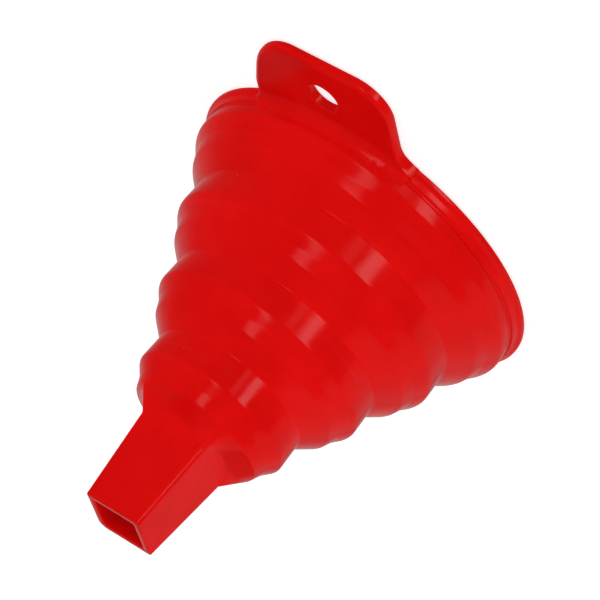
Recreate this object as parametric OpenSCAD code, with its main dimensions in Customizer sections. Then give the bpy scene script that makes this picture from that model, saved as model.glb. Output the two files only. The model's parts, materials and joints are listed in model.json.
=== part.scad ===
// Collapsible bellows funnel: a soft one-piece funnel with four stepped tiers, a square spout and a hang tab.
// It stands on its mouth: z = 0 is the mouth plane, +Z runs up the axis to the spout, the hang tab points to -Y.
// Every tier is a stiff band with a thin folding wall above it. A fold lets the next tier drop inside its parent.

/* [Rim] */
// Outer diameter of the rim lip
rim_d = 80; // [79.5:0.5:84]
// Height of the rim lip above the mouth plane
lip_h = 3; // [2.5:0.1:4]
// Height of the square outer edge of the lip
lip_edge_h = 0.9; // [0.5:0.1:1.2]

/* [Tiers] */
// Outer radius of the largest band, next to the rim
band_r = 38.6; // [38:0.1:39]
// How much smaller each band's radius is than the one below
band_step = 7; // [6.6:0.1:7.2]
// Height of the first fold line above the mouth plane
first_fold_z = 15; // [14:0.5:18]
// Height from one fold line to the next
tier_pitch = 15.3; // [14:0.1:18]

/* [Folding walls] */
// Height of the short steep-sided shoulder on top of a band
shoulder_h = 2.5; // [2:0.1:3]
// How far the shoulder leans in
shoulder_in = 1.85; // [1.5:0.05:2]
// Height of the gentle flank above the shoulder
flank_h = 2.4; // [2:0.1:3]
// How far the flank leans in
flank_in = 1; // [0.8:0.1:1.2]
// Height of the web that folds over when the tier collapses
web_h = 4; // [3.5:0.1:4.5]

/* [Walls] */
// Wall of the stiff bands and the spout
band_wall = 1.6; // [1.4:0.1:1.8]
// Wall of the shoulders, flanks and webs
fold_wall = 1.1; // [0.9:0.1:1.2]
// Free gap between a web and the band that drops through it
fold_gap = 0.25; // [0.2:0.05:0.4]

/* [Spout] */
// Height of the spout's tip above the mouth plane
spout_tip_z = 81.4; // [78:0.2:90]
// Half width across the flats at the foot of the spout
spout_foot_half = 8; // [7.6:0.1:8.4]
// Half width across the flats at the tip of the spout
spout_tip_half = 6.6; // [6:0.1:7]
// Flat cut along each long edge of the spout
spout_edge_cut = 0.6; // [0.3:0.1:1]

/* [Hang tab] */
// Distance from the axis to the far end of the tab
tab_reach = 57.2; // [54:0.2:62]
// Half width of the tab
tab_half_w = 16.2; // [14:0.2:18]
// Radius of the tab's two outer corners
tab_corner_r = 7.8; // [5:0.2:9]
// Radius of the two inner curves where the tab runs into the lip
tab_fillet_r = 6.5; // [4:0.5:8]
// Thickness of the tab
tab_t = 2.2; // [1.6:0.1:2.4]
// Radius of the hang hole
hole_r = 3.6; // [2.5:0.1:4]
// Distance from the axis to the centre of the hang hole
hole_reach = 47; // [46:0.1:48]

/* [Hidden] */

tiers = 4;
rim_r = rim_d / 2;
round_fn = 120;
corner_fn = 48;
// Depth of the undercut between the lip and the first band, and the height over which it closes
neck_in = 0.4;
neck_h = 0.5;
// Slope of the lip's upper side: where it meets the outer edge and where it meets the neck
lip_shelf_in = 0.8;
lip_shelf_h = 0.5;
lip_top_drop = 0.4;
// The band above a fold reaches this far below the fold line, through the web's own thickness
band_drop = 1.6;
// Height of the round foot of the spout, from its lower end to the fold line
foot_h = band_drop;
// Extra length on cutting tools so that they clear the faces they cut
over = 1;

function tier_r(tier) = band_r - (tier - 1) * band_step;
function fold_z(tier) = first_fold_z + (tier - 1) * tier_pitch;
function low_z(tier) = tier == 1 ? 0 : fold_z(tier - 1) - band_drop;

// Outer outline of a tier as [radius, height]: band foot, band top, shoulder top, flank top, web end
function outline(tier) =
    let (
        r = tier_r(tier),
        web_z = fold_z(tier) - web_h,
        flank_z = web_z - flank_h,
        shoulder_z = flank_z - shoulder_h
    ) [
        [r, low_z(tier)],
        [r, shoulder_z],
        [r - shoulder_in, flank_z],
        [r - shoulder_in - flank_in, web_z],
        [r - band_step, fold_z(tier)]
    ];

// Inward unit normal of the wall that runs from p to q
function inward(p, q) = [p[1] - q[1], q[0] - p[0]] / norm(q - p);
// Crossing point of the line through a along u with the line through b along v
function crossing(a, u, b, v) =
    a + u * ((b[0] - a[0]) * v[1] - (b[1] - a[1]) * v[0]) / (u[0] * v[1] - u[1] * v[0]);
// Inner corner under the outer corner q, between walls p-q of thickness s and q-r of thickness t
function inner_corner(p, q, r, s, t) =
    crossing(q + inward(p, q) * s, q - p, q + inward(q, r) * t, r - q);
// Point at radius r on the line through a and b
function at_radius(a, b, r) = a + (b - a) * (r - a[0]) / (b[0] - a[0]);

function top_inner(tier) = let (o = outline(tier)) inner_corner(o[0], o[1], o[2], band_wall, fold_wall);
function shoulder_inner(tier) = let (o = outline(tier)) inner_corner(o[1], o[2], o[3], fold_wall, fold_wall);
function flank_inner(tier) = let (o = outline(tier)) inner_corner(o[2], o[3], o[4], fold_wall, fold_wall);

// Ring turned from a profile
module ring(profile) {
    rotate_extrude($fn = round_fn) polygon(profile);
}

// Stiff band of a tier. The first one starts at the mouth and has the neck under the lip.
module band(tier) {
    o = outline(tier);
    inner_r = tier_r(tier) - band_wall;
    foot = tier == 1
        ? [[o[0][0] - neck_in, 0], [o[0][0] - neck_in, lip_h], [o[0][0], lip_h + neck_h]]
        : [o[0]];
    ring(concat(foot, [o[1], top_inner(tier), [inner_r, low_z(tier)]]));
}

module shoulder(tier) {
    o = outline(tier);
    ring([o[1], o[2], shoulder_inner(tier), top_inner(tier)]);
}

module flank(tier) {
    o = outline(tier);
    ring([o[2], o[3], flank_inner(tier), shoulder_inner(tier)]);
}

// Web that ends just short of the next band, so that the band can drop through it
module web(tier) {
    o = outline(tier);
    end_r = tier_r(tier + 1) + fold_gap;
    inside = flank_inner(tier);
    slope = o[4] - o[3];
    ring([o[3], at_radius(o[3], o[4], end_r), at_radius(inside, inside + slope, end_r), inside]);
}

// Square prism with its long edges cut off, from z0 to z1, half width a0 at z0 and a1 at z1
module square_taper(z0, z1, a0, a1, cut) {
    side = [[-a0, z0], [a0, z0], [a1, z1], [-a1, z1]];
    edge_0 = (2 * a0 - cut) / sqrt(2);
    edge_1 = (2 * a1 - cut) / sqrt(2);
    diagonal = [[-edge_0, z0], [edge_0, z0], [edge_1, z1], [-edge_1, z1]];
    reach = 4 * spout_foot_half;
    intersection() {
        wall_slab(side, reach, 0);
        wall_slab(side, reach, 90);
        wall_slab(diagonal, reach, 45);
        wall_slab(diagonal, reach, 135);
    }
}

// A side view extruded across the axis and turned about it
module wall_slab(side, reach, turn) {
    rotate([0, 0, turn])
        translate([0, reach / 2, 0])
            rotate([90, 0, 0])
                linear_extrude(height = reach) polygon(side);
}

// Outer side of the lip, from the mouth plane up
lip_side = [
    [rim_r, 0],
    [rim_r, lip_edge_h],
    [rim_r - lip_shelf_in, lip_edge_h + lip_shelf_h],
    [rim_r - lip_shelf_in, lip_h - lip_top_drop]
];

module rim_lip() {
    neck_r = band_r - neck_in;
    color("crimson") ring(concat([[neck_r, 0]], lip_side, [[neck_r, lip_h]]));
}

// Flat outline of the tab before the lip and the hole are cut away
module tab_outline() {
    corner_y = tab_reach - tab_corner_r;
    corner_x = tab_half_w - tab_corner_r;
    fillet_x = tab_half_w + tab_fillet_r;
    fillet_y = sqrt(pow(rim_r + tab_fillet_r, 2) - fillet_x * fillet_x);
    tangent_x = fillet_x * rim_r / (rim_r + tab_fillet_r);
    difference() {
        union() {
            translate([-tab_half_w, -corner_y]) square([2 * tab_half_w, corner_y]);
            translate([-corner_x, -tab_reach]) square([2 * corner_x, tab_corner_r + over]);
            for (side = [-1, 1])
                translate([side * corner_x, -corner_y]) circle(r = tab_corner_r, $fn = corner_fn);
            translate([-tangent_x, -fillet_y]) square([2 * tangent_x, fillet_y]);
        }
        for (side = [-1, 1])
            translate([side * fillet_x, -fillet_y]) circle(r = tab_fillet_r, $fn = corner_fn);
    }
}

module hang_tab() {
    color("crimson") difference() {
        linear_extrude(height = tab_t) tab_outline();
        ring(concat([[0, -over], [rim_r, -over]], lip_side, [[0, lip_h - lip_top_drop]]));
        translate([0, -hole_reach, -over]) cylinder(h = tab_t + 2 * over, r = hole_r, $fn = corner_fn);
    }
}

module band_1() { color("firebrick") band(1); }
module shoulder_1() { color("crimson") shoulder(1); }
module flank_1() { color("red") flank(1); }
module web_1() { color("tomato") web(1); }

module band_2() { color("firebrick") band(2); }
module shoulder_2() { color("crimson") shoulder(2); }
module flank_2() { color("red") flank(2); }
module web_2() { color("tomato") web(2); }

module band_3() { color("firebrick") band(3); }
module shoulder_3() { color("crimson") shoulder(3); }
module flank_3() { color("red") flank(3); }
module web_3() { color("tomato") web(3); }

module band_4() { color("firebrick") band(4); }
module shoulder_4() { color("crimson") shoulder(4); }
module flank_4() { color("red") flank(4); }
module web_4() { color("tomato") web(4); }

// Round foot ring of the spout, from which the square tube rises
module spout_foot() {
    foot_z = low_z(tiers + 1);
    foot_r = tier_r(tiers + 1);
    color("crimson") difference() {
        translate([0, 0, foot_z]) cylinder(h = foot_h, r = foot_r, $fn = round_fn);
        square_taper(
            foot_z - over, foot_z + foot_h + over,
            spout_foot_half - band_wall, spout_foot_half - band_wall, spout_edge_cut
        );
    }
}

// Square tube that narrows to the tip
module spout_tube() {
    tube_z = low_z(tiers + 1) + foot_h;
    taper = (spout_foot_half - spout_tip_half) / (spout_tip_z - tube_z);
    inner_foot = spout_foot_half - band_wall;
    inner_tip = spout_tip_half - band_wall;
    color("firebrick") difference() {
        square_taper(tube_z, spout_tip_z, spout_foot_half, spout_tip_half, spout_edge_cut);
        square_taper(
            tube_z - over, spout_tip_z + over,
            inner_foot + over * taper, inner_tip - over * taper, spout_edge_cut
        );
    }
}

rim_lip();
hang_tab();
band_1();
shoulder_1();
flank_1();
web_1();
band_2();
shoulder_2();
flank_2();
web_2();
band_3();
shoulder_3();
flank_3();
web_3();
band_4();
shoulder_4();
flank_4();
web_4();
spout_foot();
spout_tube();
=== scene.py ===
import json
import math

import bpy
import numpy as np
from mathutils import Matrix, Vector


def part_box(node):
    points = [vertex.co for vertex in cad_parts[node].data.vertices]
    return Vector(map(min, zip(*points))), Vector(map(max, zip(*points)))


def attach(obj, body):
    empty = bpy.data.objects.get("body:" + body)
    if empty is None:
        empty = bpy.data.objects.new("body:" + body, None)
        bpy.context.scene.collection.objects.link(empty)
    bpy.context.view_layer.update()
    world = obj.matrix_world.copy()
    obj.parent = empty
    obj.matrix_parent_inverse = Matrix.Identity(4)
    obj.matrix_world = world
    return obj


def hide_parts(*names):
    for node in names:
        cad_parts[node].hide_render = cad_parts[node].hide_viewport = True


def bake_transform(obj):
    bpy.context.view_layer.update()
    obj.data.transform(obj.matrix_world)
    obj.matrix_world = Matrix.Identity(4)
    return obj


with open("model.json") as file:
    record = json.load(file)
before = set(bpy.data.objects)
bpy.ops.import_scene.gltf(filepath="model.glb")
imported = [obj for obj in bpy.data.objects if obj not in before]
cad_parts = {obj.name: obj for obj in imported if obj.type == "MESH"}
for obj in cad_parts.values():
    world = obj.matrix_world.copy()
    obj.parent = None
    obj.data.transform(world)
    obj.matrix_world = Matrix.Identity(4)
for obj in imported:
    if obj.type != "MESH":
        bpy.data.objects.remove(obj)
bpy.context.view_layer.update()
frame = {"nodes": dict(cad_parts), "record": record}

MM = 0.001
TIERS = (1, 2, 3, 4)


# ---------------------------------------------------------------- sizes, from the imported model

def high(node):
    return Vector(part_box(node)[1])


def low(node):
    return Vector(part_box(node)[0])


def inner_radius(node):
    """Smallest distance from the axis to a point of a CAD node."""
    mesh = frame["nodes"][node].data
    return min(math.hypot(v.co.x, v.co.y) for v in mesh.vertices)


RIM_R = high("rim_lip").x
LIP_H = high("rim_lip").z
BAND_R = {t: high(f"band_{t}").x for t in TIERS}
BAND_STEP = BAND_R[1] - BAND_R[2]
BAND_R[5] = BAND_R[4] - BAND_STEP
BAND_WALL = BAND_R[2] - inner_radius("band_2")
BAND_TOP_Z = {t: low(f"shoulder_{t}").z for t in TIERS}
SHOULDER_TOP = {t: (high(f"flank_{t}").x, high(f"shoulder_{t}").z) for t in TIERS}
FLANK_TOP = {t: (high(f"web_{t}").x, high(f"flank_{t}").z) for t in TIERS}
SPOUT_FOOT_HALF = high("spout_tube").x
SPOUT_TIP_Z = high("spout_tube").z
TAB_REACH = -low("hang_tab").y
TAB_T = high("hang_tab").z
MOUNTS = {m["name"]: m for m in frame["record"]["mounts"]}
HOLE_R = MOUNTS["hang_hole"]["dims"]["r_mm"] * MM
HOLE_REACH = -MOUNTS["hang_hole"]["pos_m"][1]

FOLD_GAP = inner_radius("web_1") - BAND_R[2]
SPOUT_WALL = BAND_WALL

# The same values as in the part's source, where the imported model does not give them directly
FOLD_WALL = 1.1 * MM
SPOUT_TIP_HALF = 6.6 * MM
TAB_HALF_W = 16.2 * MM
TAB_CORNER_R = 7.8 * MM
TAB_FILLET_R = 6.5 * MM


def fold_line_z(tier):
    """Height where a tier's web would meet the next band."""
    r, z = FLANK_TOP[tier]
    top = high(f"web_{tier}").z
    end_r = BAND_R[tier + 1] + FOLD_GAP
    return top + (top - z) * FOLD_GAP / (r - end_r)


FOLD_Z = {t: fold_line_z(t) for t in TIERS}


# ---------------------------------------------------------------- curves

# A rounded corner takes up no more than this share of either neighbouring side
CORNER_REACH = 0.48


def straight(a, b, steps):
    """Points from a towards b, without b."""
    return [a + (b - a) * i / steps for i in range(steps)]


def rounded(corners, radii, runs, arc=7):
    """Polyline through corners with every inner one rounded.

    runs counts the steps of each straight stretch, arc those of each rounding.
    """
    c = [np.array(p, float) for p in corners]
    points = []
    start = c[0]
    for i in range(1, len(c) - 1):
        u = c[i - 1] - c[i]
        v = c[i + 1] - c[i]
        lu = np.linalg.norm(u)
        lv = np.linalg.norm(v)
        u = u / lu
        v = v / lv
        half = math.acos(max(-1.0, min(1.0, float(u @ v)))) / 2
        reach = min(radii[i - 1] / math.tan(half), CORNER_REACH * lu, CORNER_REACH * lv)
        p = c[i] + u * reach
        q = c[i] + v * reach
        radius = reach * math.tan(half)
        centre = c[i] + (u + v) / np.linalg.norm(u + v) * radius / math.sin(half)
        sweep = math.pi - 2 * half
        points += straight(start, p, runs[i - 1])
        for k in range(arc):
            s = k / arc
            from_p = math.sin((1 - s) * sweep) * (p - centre)
            from_q = math.sin(s * sweep) * (q - centre)
            points.append(centre + (from_p + from_q) / math.sin(sweep))
        start = q
    points += straight(start, c[-1], runs[-1])
    points.append(c[-1])
    return np.array(points)


# Directions round the axis, in degrees, and closer together where the square spout has its edges
ROUND_STEP = 2
EDGE_STEP = 0.6
EDGE_SPAN = 9


def directions():
    plain = [float(a) for a in range(0, 360, ROUND_STEP)]
    edges = [45, 135, 225, 315]
    reach = int(EDGE_SPAN / EDGE_STEP)
    near = [e + k * EDGE_STEP for e in edges for k in range(-reach, reach + 1)]
    far = [a for a in plain if min(abs(a - e) for e in edges) > EDGE_SPAN]
    return np.radians(sorted(far + near))


THETA = directions()


def square_radius(theta, half, corners):
    """Distance from the axis to a rounded square, along theta.

    corners has the rounding of the square's edges at 45, 135, 225 and 315 degrees.
    """
    corner = corners[int(math.degrees(theta) % 360 // 90)]
    phi = abs((theta + math.pi / 4) % (math.pi / 2) - math.pi / 4)
    if half * math.tan(phi) <= half - corner:
        return half / math.cos(phi)
    m = (half - corner) * math.sqrt(2)
    across = m * math.sin(phi - math.pi / 4)
    return m * math.cos(phi - math.pi / 4) + math.sqrt(max(0.0, corner ** 2 - across ** 2))


# ---------------------------------------------------------------- meshes

def make_object(name, points, faces, sharp_edges=()):
    mesh = bpy.data.meshes.new(name)
    mesh.from_pydata([tuple(map(float, p)) for p in points], [], faces)
    mesh.update()
    mesh.polygons.foreach_set("use_smooth", [True] * len(mesh.polygons))
    if sharp_edges:
        wanted = {frozenset(e) for e in sharp_edges}
        for edge in mesh.edges:
            if frozenset(edge.vertices) in wanted:
                edge.use_edge_sharp = True
    obj = bpy.data.objects.new(name, mesh)
    bpy.context.collection.objects.link(obj)
    return obj


def ring_object(name, loops, sharp=()):
    """Closed ring from one closed loop of points per direction.

    sharp lists the loop's points whose edges stay crisp.
    """
    loops = np.asarray(loops, float)
    around, along = loops.shape[:2]
    faces = []
    for i in range(around):
        j = (i + 1) % around
        for k in range(along):
            m = (k + 1) % along
            faces.append((i * along + k, j * along + k, j * along + m, i * along + m))
    edges = [(i * along + k, ((i + 1) % around) * along + k) for k in sharp for i in range(around)]
    return make_object(name, loops.reshape(-1, 3), faces, edges)


def turned(profile_of):
    """One loop of 3-D points per direction from a function that gives the [radius, height] loop there."""
    loops = []
    for theta in THETA:
        rz = profile_of(theta)
        loops.append(np.column_stack([rz[:, 0] * math.cos(theta), rz[:, 0] * math.sin(theta), rz[:, 1]]))
    return loops


# ---------------------------------------------------------------- the moulded wall

# A band flares outward by this much from its foot to its top
BAND_FLARE = 0.25 * MM
# The skins meet this far above a band's foot and below its top
FOOT_SEAM = 1.1 * MM
TOP_SEAM = 1.5 * MM
SHOULDER_ROUND = {1: 2.2 * MM, 2: 2.2 * MM, 3: 1.8 * MM, 4: 1.3 * MM}
KINK_ROUND = 1.3 * MM
FLANK_ROUND = {1: 1.8 * MM, 2: 1.7 * MM, 3: 1.5 * MM, 4: 0.9 * MM}
VALLEY_ROUND = 0.45 * MM
# The inside is rounded by this share of the outside's radius
INNER_ROUND = 0.7
BAND_STEPS = 8


def band_outer_r(tier, z):
    """Outer radius of a band at height z, with its slight flare."""
    foot = 0 if tier == 1 else FOLD_Z[tier - 1]
    share = (z - foot) / (BAND_TOP_Z[tier] - foot)
    return BAND_R[tier] + BAND_FLARE * (share - 0.5)


def foot_seam_z(tier):
    return FOLD_Z[tier - 1] + FOOT_SEAM


def top_seam_z(tier):
    return BAND_TOP_Z[tier] - TOP_SEAM


def on_band(tier, z, depth=0.0):
    return [band_outer_r(tier, z) - depth, z]


def inward(p, q):
    """Unit vector square to the way from p to q, pointing to its left, which is into the wall."""
    d = np.array(q, float) - np.array(p, float)
    return np.array([-d[1], d[0]]) / np.linalg.norm(d)


def crossing(a, u, b, v):
    """Where the line through a along u meets the line through b along v."""
    t = ((b[0] - a[0]) * v[1] - (b[1] - a[1]) * v[0]) / (u[0] * v[1] - u[1] * v[0])
    return a + u * t


def inner_outline(outer, walls):
    """The outline moved inward, wall by wall, by each wall's thickness."""
    o = [np.array(p, float) for p in outer]
    inner = [o[0] + inward(o[0], o[1]) * walls[0]]
    for i in range(1, len(o) - 1):
        a = o[i] + inward(o[i - 1], o[i]) * walls[i - 1]
        b = o[i] + inward(o[i], o[i + 1]) * walls[i]
        inner.append(crossing(a, o[i] - o[i - 1], b, o[i + 1] - o[i]))
    inner.append(o[-1] + inward(o[-2], o[-1]) * walls[-1])
    return inner


def closed_wall(outer, inner):
    """Loop up the outside and back down the inside, and the four places where its ends are cut square."""
    loop = np.vstack([outer, inner[::-1]])
    n = len(outer)
    return loop, (0, n - 1, n, len(loop) - 1)


def band_skin(tier):
    z0 = foot_seam_z(tier)
    z1 = top_seam_z(tier)
    heights = [z0 + (z1 - z0) * i / BAND_STEPS for i in range(BAND_STEPS + 1)]
    outer = np.array([on_band(tier, z) for z in heights])
    inner = np.array([on_band(tier, z, BAND_WALL) for z in heights])
    loop, cuts = closed_wall(outer, inner)
    return ring_object(f"band_{tier}_skin", turned(lambda theta: loop), cuts)


def fold_outline(tier):
    """Corners of the outside from one band, over the shoulder, flank and web, to the next band."""
    return [
        on_band(tier, top_seam_z(tier)),
        on_band(tier, BAND_TOP_Z[tier]),
        SHOULDER_TOP[tier],
        FLANK_TOP[tier],
        on_band(tier + 1, FOLD_Z[tier]),
        on_band(tier + 1, foot_seam_z(tier + 1)),
    ]


def fold_skin(tier):
    corners = fold_outline(tier)
    walls = [BAND_WALL, FOLD_WALL, FOLD_WALL, FOLD_WALL, BAND_WALL]
    radii = [SHOULDER_ROUND[tier], KINK_ROUND, FLANK_ROUND[tier], VALLEY_ROUND]
    runs = [2, 3, 3, 8, 2]
    outer = rounded(corners, radii, runs)
    inner = rounded(inner_outline(corners, walls), [r * INNER_ROUND for r in radii], runs)
    loop, cuts = closed_wall(outer, inner)
    return ring_object(f"fold_{tier}_skin", turned(lambda theta: loop), cuts)


# Inside, the wall tapers from this height down, to an edge this much narrower than the band
MOUTH_H = 2.5 * MM
MOUTH_IN = 0.2 * MM
# Outside, an upright edge slopes in to a narrower step, whose top rises to a shallow neck under the band
EDGE_H = 0.95 * MM
STEP_IN = 0.85 * MM
STEP_H = 1.5 * MM
STEP_DRAFT = 0.15 * MM
STEP_RISE = 0.25 * MM
NECK_IN = 0.35 * MM
NECK_H = 0.7 * MM


def rim_skin():
    """Rim lip, neck and first band: one loop that goes round the mouth's edge."""
    seam = top_seam_z(1)
    neck_r = BAND_R[1] - NECK_IN
    step_r = RIM_R - STEP_IN
    inner_r = BAND_R[1] - BAND_WALL
    corners = [
        on_band(1, seam, BAND_WALL),
        [inner_r - BAND_FLARE / 2, MOUTH_H],
        [inner_r - MOUTH_IN, 0],
        [RIM_R, 0],
        [RIM_R, EDGE_H],
        [step_r, STEP_H],
        [step_r - STEP_DRAFT, LIP_H - STEP_RISE],
        [neck_r, LIP_H],
        on_band(1, LIP_H + NECK_H),
        on_band(1, seam),
    ]
    radii = [2 * MM, 0.5 * MM, 0.35 * MM, 0.3 * MM, 0.6 * MM, 0.4 * MM, 0.4 * MM, 0.7 * MM]
    runs = [3, 3, 4, 2, 1, 2, 2, 1, 3]
    loop = rounded(corners, radii, runs, arc=5)
    return ring_object("rim_skin", turned(lambda theta: loop), (0, len(loop) - 1))


# ---------------------------------------------------------------- the square spout

# Rounding of the spout's long edges, at 45, 135, 225 and 315 degrees
OUTER_EDGE_R = (2.1 * MM, 0.7 * MM, 1.15 * MM, 0.7 * MM)
INNER_EDGE_R = (1.0 * MM, 0.4 * MM, 0.5 * MM, 0.4 * MM)
SHARP_EDGE_R = (0.7 * MM,) * 4
# The web runs lower at the middle of each flat than at the square's edges
JOIN_FLAT_Z = FOLD_Z[4] - 1.3 * MM
JOIN_EDGE_Z = FOLD_Z[4] + 0.7 * MM
SPOUT_SEAM_Z = FOLD_Z[4] + 3 * MM
# The foot is rounded broadly in the middle of each flat and stays crisp at the edges
FOOT_FLAT_R = 3.0 * MM
FOOT_EDGE_R = 0.8 * MM
TIP_ROUND = 0.22 * MM


def spout_half(z):
    share = (z - FOLD_Z[4]) / (SPOUT_TIP_Z - FOLD_Z[4])
    return SPOUT_FOOT_HALF + (SPOUT_TIP_HALF - SPOUT_FOOT_HALF) * share


def spout_r(theta, z, depth=0.0):
    edge = OUTER_EDGE_R if depth == 0 else INNER_EDGE_R
    return square_radius(theta, spout_half(z) - depth, edge)


def towards_edge(theta):
    """0 in the middle of a flat of the square, 1 at its edges."""
    r_flat = square_radius(0, SPOUT_FOOT_HALF, SHARP_EDGE_R)
    r_edge = square_radius(math.pi / 4, SPOUT_FOOT_HALF, SHARP_EDGE_R)
    return (square_radius(theta, SPOUT_FOOT_HALF, SHARP_EDGE_R) - r_flat) / (r_edge - r_flat)


def fold_4_profile(theta):
    share = towards_edge(theta)
    z = JOIN_FLAT_Z + (JOIN_EDGE_Z - JOIN_FLAT_Z) * share
    foot_r = FOOT_FLAT_R + (FOOT_EDGE_R - FOOT_FLAT_R) * share
    outer_corners = [
        on_band(4, top_seam_z(4)),
        on_band(4, BAND_TOP_Z[4]),
        SHOULDER_TOP[4],
        FLANK_TOP[4],
        [spout_r(theta, z), z],
        [spout_r(theta, SPOUT_SEAM_Z), SPOUT_SEAM_Z],
    ]
    radii = [SHOULDER_ROUND[4], KINK_ROUND, FLANK_ROUND[4], foot_r]
    walls = [BAND_WALL, FOLD_WALL, FOLD_WALL, FOLD_WALL, SPOUT_WALL]
    runs = [2, 3, 3, 8, 4]
    inner_corners = inner_outline(outer_corners, walls)
    inner_z = inner_corners[4][1]
    inner_corners[4] = np.array([spout_r(theta, inner_z, SPOUT_WALL), inner_z])
    inner_corners[5] = np.array([spout_r(theta, SPOUT_SEAM_Z, SPOUT_WALL), SPOUT_SEAM_Z])
    outer = rounded(outer_corners, radii, runs)
    inner = rounded(inner_corners, [r * INNER_ROUND for r in radii], runs)
    return closed_wall(outer, inner)[0]


def fold_4_skin():
    loops = turned(fold_4_profile)
    n = loops[0].shape[0] // 2
    return ring_object("fold_4_skin", loops, (0, n - 1, n, 2 * n - 1))


def spout_skin():
    def profile(theta):
        z0 = SPOUT_SEAM_Z
        z1 = SPOUT_TIP_Z
        corners = [
            [spout_r(theta, z0), z0],
            [spout_r(theta, z1), z1],
            [spout_r(theta, z1, SPOUT_WALL), z1],
            [spout_r(theta, z0, SPOUT_WALL), z0],
        ]
        return rounded(corners, [TIP_ROUND, TIP_ROUND], [10, 2, 10], arc=4)

    loops = turned(profile)
    return ring_object("spout_skin", loops, (0, loops[0].shape[0] - 1))


# ---------------------------------------------------------------- the hang tab

# The tab runs on into the band's wall, so its inner edge is buried there
TAB_ROOT_R = BAND_R[1] - 1.3 * MM
TAB_ROOT_FILLET = 3.1 * MM
# The fillet levels off at this share of its radius, just before it would turn upright
FILLET_REACH = 0.984
# Over this much azimuth at each end, in degrees, the fillet at the root falls to this share of its height
TAB_ROOT_FADE = 1.6
TAB_END_SHARE = 0.35
TAB_TOP_ROUND = 1.0 * MM
TAB_UNDER_ROUND = 0.45 * MM
# Inside the lip the underside is lifted clear of the lip's own: how much, from how far in, over what distance
TAB_UNDER_LIFT = 0.15 * MM
TAB_LIFT_FROM = 0.3 * MM
TAB_LIFT_OVER = 0.5 * MM
HOLE_TOP_ROUND = 0.25 * MM
HOLE_UNDER_ROUND = 0.3 * MM
# The mesh fans out from this point inside the hole; from here no ray meets the outline twice
RAYS_FROM = np.array([0.0, -44.5 * MM])
# The edge's rounding dies out over this distance from the lip
INSET_TAPER = 1.0 * MM
# Where a ray only grazes the edge, it counts as facing it at least this much
LEAST_FACING = 0.6
# Steps from the hole to the edge, and how strongly they crowd together towards the edge
TAB_STEPS = 64
TAB_CROWDING = 1.3
# Steps along the outline: its straight edges, its corner, its fillet, the side inside the lip, and the root
SIDE_STEPS = 8
CORNER_STEPS = 16
FILLET_STEPS = 12
BURIED_STEPS = 4
ROOT_STEPS = 48
QUARTER_TURN = [math.radians(a) for a in (0, 22.5, 45, 67.5, 90)]
# The soft tab's +X edge has eased over: wider at its root, narrowing to a softer corner
EASED_HALF_W = 18.2 * MM
EASED_CORNER_R = 10.2 * MM
EASED_FILLET_R = 1.4 * MM
EASED_AT = [-TAB_REACH, -49 * MM, -41 * MM]
EASED_SHARE = [0.84, 0.9, 1.0]


def tab_side(half_w, corner_r, fillet_r):
    """Half of the tab's outline, on the +X side, from the far edge's middle to the root's middle."""
    fillet_x = half_w + fillet_r
    fillet_y = math.sqrt((RIM_R + fillet_r) ** 2 - fillet_x ** 2)
    corner = np.array([half_w - corner_r, -(TAB_REACH - corner_r)])
    tangent = math.atan2(-fillet_y, fillet_x)
    far = np.array([0.0, -TAB_REACH])
    side = straight(far, np.array([corner[0], -TAB_REACH]), SIDE_STEPS)
    for k in range(CORNER_STEPS):
        a = -math.pi / 2 + (math.pi / 2) * k / CORNER_STEPS
        side.append(corner + corner_r * np.array([math.cos(a), math.sin(a)]))
    side += straight(np.array([half_w, corner[1]]), np.array([half_w, -fillet_y]), SIDE_STEPS)
    centre = np.array([fillet_x, -fillet_y])
    for k in range(FILLET_STEPS + 1):
        a = math.pi + tangent * k / FILLET_STEPS
        side.append(centre + fillet_r * np.array([math.cos(a), math.sin(a)]))
    out = np.array([math.cos(tangent), math.sin(tangent)])
    side += straight(RIM_R * out, TAB_ROOT_R * out, BURIED_STEPS)[1:]
    for k in range(ROOT_STEPS):
        a = tangent + (-math.pi / 2 - tangent) * k / ROOT_STEPS
        side.append(TAB_ROOT_R * np.array([math.cos(a), math.sin(a)]))
    side.append(np.array([0.0, -TAB_ROOT_R]))
    return np.array(side)


def tab_outline():
    """Closed outline of the tab, counter-clockwise seen from above."""
    eased = tab_side(EASED_HALF_W, EASED_CORNER_R, EASED_FILLET_R)
    eased[:, 0] *= np.interp(eased[:, 1], EASED_AT, EASED_SHARE)
    plain = tab_side(TAB_HALF_W, TAB_CORNER_R, TAB_FILLET_R)[1:-1][::-1] * np.array([-1, 1])
    return np.vstack([eased, plain])


def unit_rows(vectors):
    return vectors / np.linalg.norm(vectors, axis=1)[:, None]


def directions_to(outline):
    return unit_rows(outline - RAYS_FROM)


def inset(outline, depth):
    """Outline moved along its rays until its edge lies depth further in. Points buried in the lip stay."""
    ahead = unit_rows(np.roll(outline, -1, axis=0) - outline)
    behind = unit_rows(outline - np.roll(outline, 1, axis=0))
    along = unit_rows(ahead + behind)
    outward = np.column_stack([along[:, 1], -along[:, 0]])
    unit = directions_to(outline)
    facing = np.maximum((outward * unit).sum(axis=1), LEAST_FACING)
    exposed = np.clip((np.hypot(outline[:, 0], outline[:, 1]) - RIM_R) / INSET_TAPER, 0, 1)
    return outline - unit * (depth / facing * exposed)[:, None]


def azimuth_aside(xy):
    """Azimuth from the tab's middle line, in degrees, positive towards +X."""
    return np.degrees(np.arctan2(xy[:, 0], -xy[:, 1]))


def tab_under(xy):
    """Height of the tab's underside."""
    r = np.hypot(xy[:, 0], xy[:, 1])
    return TAB_UNDER_LIFT * np.clip((RIM_R - TAB_LIFT_FROM - r) / TAB_LIFT_OVER, 0, 1)


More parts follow.
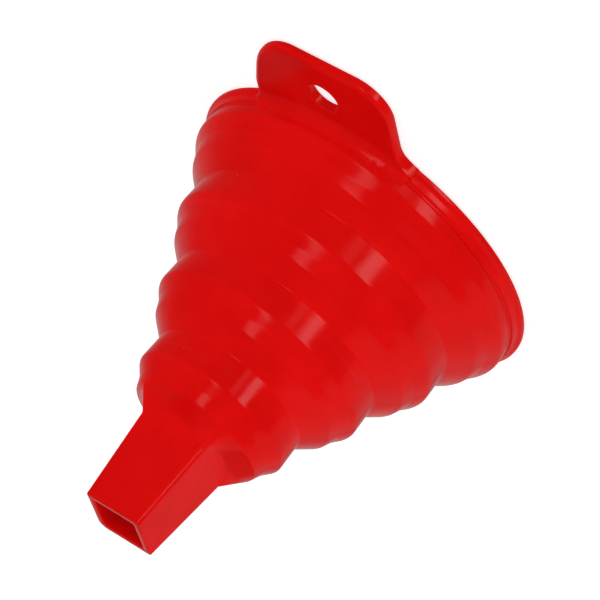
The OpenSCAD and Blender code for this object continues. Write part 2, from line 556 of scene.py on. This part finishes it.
def tab_top(xy, ends):
    """Height of the tab's top face: flat, then rising in a fillet to the first band.

    ends has the azimuths where the root begins and ends.
    """
    r = np.hypot(xy[:, 0], xy[:, 1])
    over = np.clip(BAND_R[1] + TAB_ROOT_FILLET - r, 0, FILLET_REACH * TAB_ROOT_FILLET)
    aside = azimuth_aside(xy)
    fade = np.clip(np.minimum(ends[1] - aside, aside - ends[0]) / TAB_ROOT_FADE, 0, 1)
    fillet = TAB_ROOT_FILLET - np.sqrt(TAB_ROOT_FILLET ** 2 - over ** 2)
    return TAB_T + fillet * (TAB_END_SHARE + (1 - TAB_END_SHARE) * fade ** 2 * (3 - 2 * fade))


def tab_skin():
    outline = tab_outline()
    root = outline[np.hypot(outline[:, 0], outline[:, 1]) < RIM_R]
    ends = (azimuth_aside(root).min(), azimuth_aside(root).max())
    hub = np.array([0.0, -HOLE_REACH])
    unit = directions_to(outline)
    to_hub = unit @ (hub - RAYS_FROM)
    hub_squared = float((hub - RAYS_FROM) @ (hub - RAYS_FROM))
    outer_top = inset(outline, TAB_TOP_ROUND)
    outer_under = inset(outline, TAB_UNDER_ROUND)
    across = [1 - (1 - k / TAB_STEPS) ** TAB_CROWDING for k in range(1, TAB_STEPS)]

    def round_hole(radius):
        """Where the rays meet a circle round the hole's middle."""
        reach = to_hub + np.sqrt(to_hub ** 2 + radius ** 2 - hub_squared)
        return RAYS_FROM + unit * reach[:, None]

    def hole_wall(a, radius):
        return round_hole(HOLE_R + radius * (1 - math.cos(a)))

    def edge_wall(a, radius):
        return inset(outline, radius * (1 - math.cos(a)))

    hole_top = round_hole(HOLE_R + HOLE_TOP_ROUND)
    hole_under = round_hole(HOLE_R + HOLE_UNDER_ROUND)
    # Up the hole's wall, over the top, down the outside and back underneath
    sections = []
    for a in QUARTER_TURN:
        sections.append((hole_wall(a, HOLE_TOP_ROUND), TAB_T - HOLE_TOP_ROUND * (1 - math.sin(a))))
    for share in across:
        xy = hole_top + (outer_top - hole_top) * share
        sections.append((xy, tab_top(xy, ends)))
    for a in QUARTER_TURN[::-1]:
        xy = edge_wall(a, TAB_TOP_ROUND)
        sections.append((xy, tab_top(xy, ends) - TAB_TOP_ROUND * (1 - math.sin(a))))
    for a in QUARTER_TURN:
        xy = edge_wall(a, TAB_UNDER_ROUND)
        sections.append((xy, tab_under(xy) + TAB_UNDER_ROUND * (1 - math.sin(a))))
    for share in across[::-1]:
        xy = hole_under + (outer_under - hole_under) * share
        sections.append((xy, tab_under(xy)))
    for a in QUARTER_TURN[::-1]:
        sections.append((hole_wall(a, HOLE_UNDER_ROUND), HOLE_UNDER_ROUND * (1 - math.sin(a))))
    loops = np.zeros((len(outline), len(sections), 3))
    for k, (xy, z) in enumerate(sections):
        loops[:, k, :2] = xy
        loops[:, k, 2] = z
    return ring_object("hang_tab_skin", loops[:, ::-1])


# ---------------------------------------------------------------- shader nodes

class Graph:
    """Small helper that adds and links shader nodes."""

    def __init__(self, tree):
        self.tree = tree

    def node(self, kind, **settings):
        n = self.tree.nodes.new(kind)
        for key, value in settings.items():
            setattr(n, key, value)
        return n

    def feed(self, socket, value):
        if isinstance(value, bpy.types.NodeSocket):
            self.tree.links.new(value, socket)
        else:
            socket.default_value = value

    def math(self, operation, *values, clamp=False):
        n = self.node("ShaderNodeMath", operation=operation, use_clamp=clamp)
        for socket, value in zip(n.inputs, values):
            self.feed(socket, value)
        return n.outputs[0]

    def remap(self, value, lo, hi, out_lo=0.0, out_hi=1.0, smooth=True):
        n = self.node("ShaderNodeMapRange", interpolation_type="SMOOTHSTEP" if smooth else "LINEAR")
        names = ("Value", "From Min", "From Max", "To Min", "To Max")
        for name, v in zip(names, (value, lo, hi, out_lo, out_hi)):
            self.feed(n.inputs[name], v)
        return n.outputs["Result"]

    def noise(self, vector, scale, detail=2.0, roughness=0.5):
        n = self.node("ShaderNodeTexNoise")
        for name, v in (("Vector", vector), ("Scale", scale), ("Detail", detail), ("Roughness", roughness)):
            self.feed(n.inputs[name], v)
        return n.outputs["Fac"]

    def stretched(self, vector, scale):
        n = self.node("ShaderNodeMapping")
        self.feed(n.inputs["Vector"], vector)
        n.inputs["Scale"].default_value = scale
        return n.outputs["Vector"]

    def mix(self, share, a, b):
        n = self.node("ShaderNodeMix", data_type="RGBA")
        self.feed(n.inputs["Factor"], share)
        self.feed(n.inputs["A"], a)
        self.feed(n.inputs["B"], b)
        return n.outputs["Result"]


# ---------------------------------------------------------------- materials

RED_DEEP = (0.66, 0.0022, 0.0018, 1)
RED_LIGHT = (0.72, 0.0035, 0.003, 1)
STREAK = (0.76, 0.012, 0.011, 1)
DUST = (0.85, 0.2, 0.18, 1)
# Noise scales, in cells per metre. The flow marks are wide round the axis and thin along it
MOTTLE_SCALE = 90
FLOW_SCALE = (30, 30, 1100)
GRAIN_SCALE = 2600
DIMPLE_SCALE = 420
SPECK_SCALE = 200
# How far from its cell's point a speck fades in, in cells, and above which random value a cell holds one
SPECK_SIZE = (0.04, 0.02)
SPECK_PICK = (0.8, 0.84)
# Where in its noise a streak or a lighter patch fades in
STREAK_RANGE = (0.6, 0.78)
STREAK_SHARE = 0.5
MOTTLE_RANGE = (0.3, 0.7)
# Roughness of the surface, what the flow marks add to it, and where in each noise they change
ROUGHNESS = (0.12, 0.18)
ROUGHNESS_RANGE = (0.25, 0.75)
FLOW_ROUGHNESS = (0.0, 0.12)
FLOW_RANGE = (0.58, 0.8)
# How much each noise adds to the height of the bumps
GRAIN_SHARE = 0.35
DIMPLE_SHARE = 0.9
FLOW_SHARE = 0.25
IOR_SILICONE = 1.41
BUMP_STRENGTH = 0.35
BUMP_DEPTH = 0.06 * MM


def silicone():
    """Satin red silicone: mottled colour, flow marks from the mould, fine grain and a few specks of dust."""
    material = bpy.data.materials.new("red_silicone")
    material.use_nodes = True
    g = Graph(material.node_tree)
    shader = material.node_tree.nodes["Principled BSDF"]
    place = g.node("ShaderNodeTexCoord").outputs["Object"]

    mottle = g.noise(place, MOTTLE_SCALE, detail=3)
    flow = g.noise(g.stretched(place, FLOW_SCALE), 1, detail=3, roughness=0.6)
    grain = g.noise(place, GRAIN_SCALE, detail=2)
    dimple = g.noise(place, DIMPLE_SCALE, detail=1)

    cells = g.node("ShaderNodeTexVoronoi", feature="F1")
    g.feed(cells.inputs["Vector"], place)
    cells.inputs["Scale"].default_value = SPECK_SCALE
    speck = g.remap(cells.outputs["Distance"], *SPECK_SIZE)
    channels = g.node("ShaderNodeSeparateColor")
    g.feed(channels.inputs[0], cells.outputs["Color"])
    speck = g.math("MULTIPLY", speck, g.remap(channels.outputs["Red"], *SPECK_PICK))

    streak = g.remap(flow, *STREAK_RANGE)
    red = g.mix(g.remap(mottle, *MOTTLE_RANGE), RED_DEEP, RED_LIGHT)
    red = g.mix(g.math("MULTIPLY", streak, STREAK_SHARE), red, STREAK)
    g.feed(shader.inputs["Base Color"], g.mix(speck, red, DUST))
    base_rough = g.remap(mottle, *ROUGHNESS_RANGE, *ROUGHNESS)
    flow_rough = g.remap(flow, *FLOW_RANGE, *FLOW_ROUGHNESS)
    g.feed(shader.inputs["Roughness"], g.math("ADD", base_rough, flow_rough))
    shader.inputs["IOR"].default_value = IOR_SILICONE

    height = g.math("ADD", g.math("MULTIPLY", grain, GRAIN_SHARE), g.math("MULTIPLY", dimple, DIMPLE_SHARE))
    height = g.math("ADD", height, g.math("MULTIPLY", flow, FLOW_SHARE))
    bump = g.node("ShaderNodeBump")
    bump.inputs["Strength"].default_value = BUMP_STRENGTH
    bump.inputs["Distance"].default_value = BUMP_DEPTH
    g.feed(bump.inputs["Height"], height)
    g.feed(shader.inputs["Normal"], bump.outputs["Normal"])
    return material


# ---------------------------------------------------------------- stage, light and camera

FLOOR_SIZE = 6.0
# Just under the rim, so that the two never lie in one plane
FLOOR_Z = -0.3 * MM
FLOOR_GREY = (0.5, 0.5, 0.5, 1)
FLOOR_GLOW = 0.7
FLOOR_ROUGHNESS = 0.9
WHITE = (1, 1, 1, 1)


def stage_floor():
    """Pale floor that the camera sees, but that neither lights the object nor shows in its gloss."""
    s = FLOOR_SIZE
    corners = [(-s, -s, FLOOR_Z), (s, -s, FLOOR_Z), (s, s, FLOOR_Z), (-s, s, FLOOR_Z)]
    floor = make_object("floor", corners, [(0, 1, 2, 3)])
    material = bpy.data.materials.new("pale_floor")
    material.use_nodes = True
    shader = material.node_tree.nodes["Principled BSDF"]
    shader.inputs["Base Color"].default_value = FLOOR_GREY
    shader.inputs["Roughness"].default_value = FLOOR_ROUGHNESS
    shader.inputs["Emission Color"].default_value = WHITE
    shader.inputs["Emission Strength"].default_value = FLOOR_GLOW
    floor.data.materials.append(material)
    for rays in ("glossy", "diffuse", "shadow"):
        setattr(floor, f"visible_{rays}", False)


# Soft boxes as seen in the gloss, angles in degrees: azimuth and elevation of the middle,
# half width, half height, softness of the edge, strength
SOFT_BOXES = (
    (-139.8, -16, 6.2, 34, 0.6, 1.9),
    (-122.5, -18, 4.2, 20, 1.5, 0.4),
    (-95.5, 38, 6.5, 17, 1.5, 1.1),
    (128, 5, 32, 60, 4.0, 0.14),
)
ROOM_GLOSS = 0.06
# The pale backdrop, as seen in the gloss, angles in degrees: strength, elevation where it ends,
# how softly it ends, azimuth of its middle and how far it spreads
BACK_GLOW = 0.36
BACK_TOP = 20
BACK_FADE = 7
BACK_AZIMUTH = 61
BACK_SPREAD = 19
TENT_RADIUS = 20.0

# Wide soft lights all round: azimuth and elevation that they shine from, in degrees, and strength
WIDE_LIGHTS = (
    (-120, 5, 1.0),
    (-60, 5, 1.15),
    (0, 5, 1.65),
    (60, 5, 1.4),
    (120, 5, 1.5),
    (180, 5, 1.4),
    (0, 90, 0.5),
    (-125, 50, 0.75),
    (0, -90, 0.8),
)
WIDE_ANGLE = math.radians(75)


def wide_lights():
    """Soft light from all round that does not show in the gloss."""
    for number, (az, el, strength) in enumerate(WIDE_LIGHTS):
        light = bpy.data.lights.new(f"wide_{number}", "SUN")
        light.energy = strength
        light.angle = WIDE_ANGLE
        light.cycles.use_multiple_importance_sampling = False
        obj = bpy.data.objects.new(f"wide_{number}", light)
        bpy.context.collection.objects.link(obj)
        a = math.radians(az)
        e = math.radians(el)
        towards = Vector((math.cos(a) * math.cos(e), math.sin(a) * math.cos(e), math.sin(e)))
        obj.rotation_euler = towards.to_track_quat("Z", "Y").to_euler()
        obj.visible_glossy = False


def white_world():
    """World that is white to the camera and gives no light."""
    world = bpy.data.worlds.new("studio")
    bpy.context.scene.world = world
    world.use_nodes = True
    background = world.node_tree.nodes["Background"]
    background.inputs["Color"].default_value = WHITE
    for rays in ("diffuse", "glossy", "transmission", "scatter"):
        setattr(world.cycles_visibility, rays, False)


def light_tent():
    """Sphere round the scene, seen only in reflections: dim walls, a pale backdrop and the soft boxes."""
    bpy.ops.mesh.primitive_uv_sphere_add(segments=48, ring_count=24, radius=TENT_RADIUS)
    tent = bpy.context.object
    tent.name = "light_tent"
    material = bpy.data.materials.new("light_tent")
    material.use_nodes = True
    material.cycles.emission_sampling = "NONE"
    tree = material.node_tree
    tree.nodes.clear()
    g = Graph(tree)
    split = g.node("ShaderNodeSeparateXYZ")
    place = g.node("ShaderNodeTexCoord").outputs["Object"]
    g.feed(split.inputs[0], place)
    azimuth = g.math("ARCTAN2", split.outputs["Y"], split.outputs["X"])
    height = g.math("DIVIDE", split.outputs["Z"], TENT_RADIUS)
    elevation = g.math("ARCSINE", height)

    def off(angle, middle):
        turned_by = g.math("SUBTRACT", angle, math.radians(middle))
        return g.math("ABSOLUTE", g.math("WRAP", turned_by, math.pi, -math.pi))

    glow = ROOM_GLOSS
    for az, el, half_az, half_el, edge, strength in SOFT_BOXES:
        e = math.radians(edge)
        across = g.remap(off(azimuth, az), math.radians(half_az) + e, math.radians(half_az) - e)
        up = g.remap(off(elevation, el), math.radians(half_el) + e, math.radians(half_el) - e)
        glow = g.math("ADD", glow, g.math("MULTIPLY", g.math("MULTIPLY", across, up), strength))
    away = g.math("DIVIDE", off(azimuth, BACK_AZIMUTH), math.radians(BACK_SPREAD))
    back = g.math("EXPONENT", g.math("MULTIPLY", g.math("MULTIPLY", away, away), -0.5))
    low_down = g.remap(elevation, math.radians(BACK_TOP), math.radians(BACK_TOP - BACK_FADE))
    back = g.math("MULTIPLY", back, low_down)
    glow = g.math("ADD", glow, g.math("MULTIPLY", back, BACK_GLOW))
    emission = g.node("ShaderNodeEmission")
    g.feed(emission.inputs["Strength"], glow)
    output = g.node("ShaderNodeOutputMaterial")
    g.feed(output.inputs["Surface"], emission.outputs["Emission"])
    tent.data.materials.append(material)
    for rays in ("camera", "diffuse", "transmission", "shadow", "volume_scatter"):
        setattr(tent, f"visible_{rays}", False)


# Where the camera stands, in metres, and which way the right and the bottom of its picture point
CAMERA_AT = Vector((-0.26249, -0.50283, 0.23764))
CAMERA_RIGHT = Vector((-0.78846, 0.15638, -0.59487))
CAMERA_DOWN = Vector((-0.43661, 0.53892, 0.72037))
LENS_MM = 180
SENSOR_MM = 36


def camera():
    data = bpy.data.cameras.new("camera")
    data.sensor_width = SENSOR_MM
    data.lens = LENS_MM
    obj = bpy.data.objects.new("camera", data)
    bpy.context.collection.objects.link(obj)
    right = CAMERA_RIGHT.normalized()
    ahead = right.cross(CAMERA_DOWN).normalized()
    up = ahead.cross(right) * -1
    turn = Matrix((right, up, -ahead)).transposed().to_4x4()
    obj.matrix_world = Matrix.Translation(CAMERA_AT) @ turn
    bpy.context.scene.camera = obj


# ---------------------------------------------------------------- assembly

RED = silicone()


def finish_piece(obj, *nodes):
    obj.data.materials.clear()
    obj.data.materials.append(RED)
    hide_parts(*nodes)
    return obj


camera()
stage_floor()
wide_lights()
white_world()
light_tent()
bpy.context.scene.view_settings.view_transform = "Standard"

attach(finish_piece(rim_skin(), "rim_lip", "band_1"), "rim_tier")
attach(finish_piece(tab_skin(), "hang_tab"), "rim_tier")

BODY = {1: "rim_tier", 2: "tier_2", 3: "tier_3", 4: "tier_4", 5: "spout"}
for tier in (2, 3, 4):
    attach(finish_piece(band_skin(tier), f"band_{tier}"), BODY[tier])

for tier in TIERS:
    skin = fold_skin(tier) if tier < 4 else fold_4_skin()
    finish_piece(skin, f"shoulder_{tier}", f"flank_{tier}", f"web_{tier}")
    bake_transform(skin)

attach(finish_piece(spout_skin(), "spout_foot", "spout_tube"), "spout")
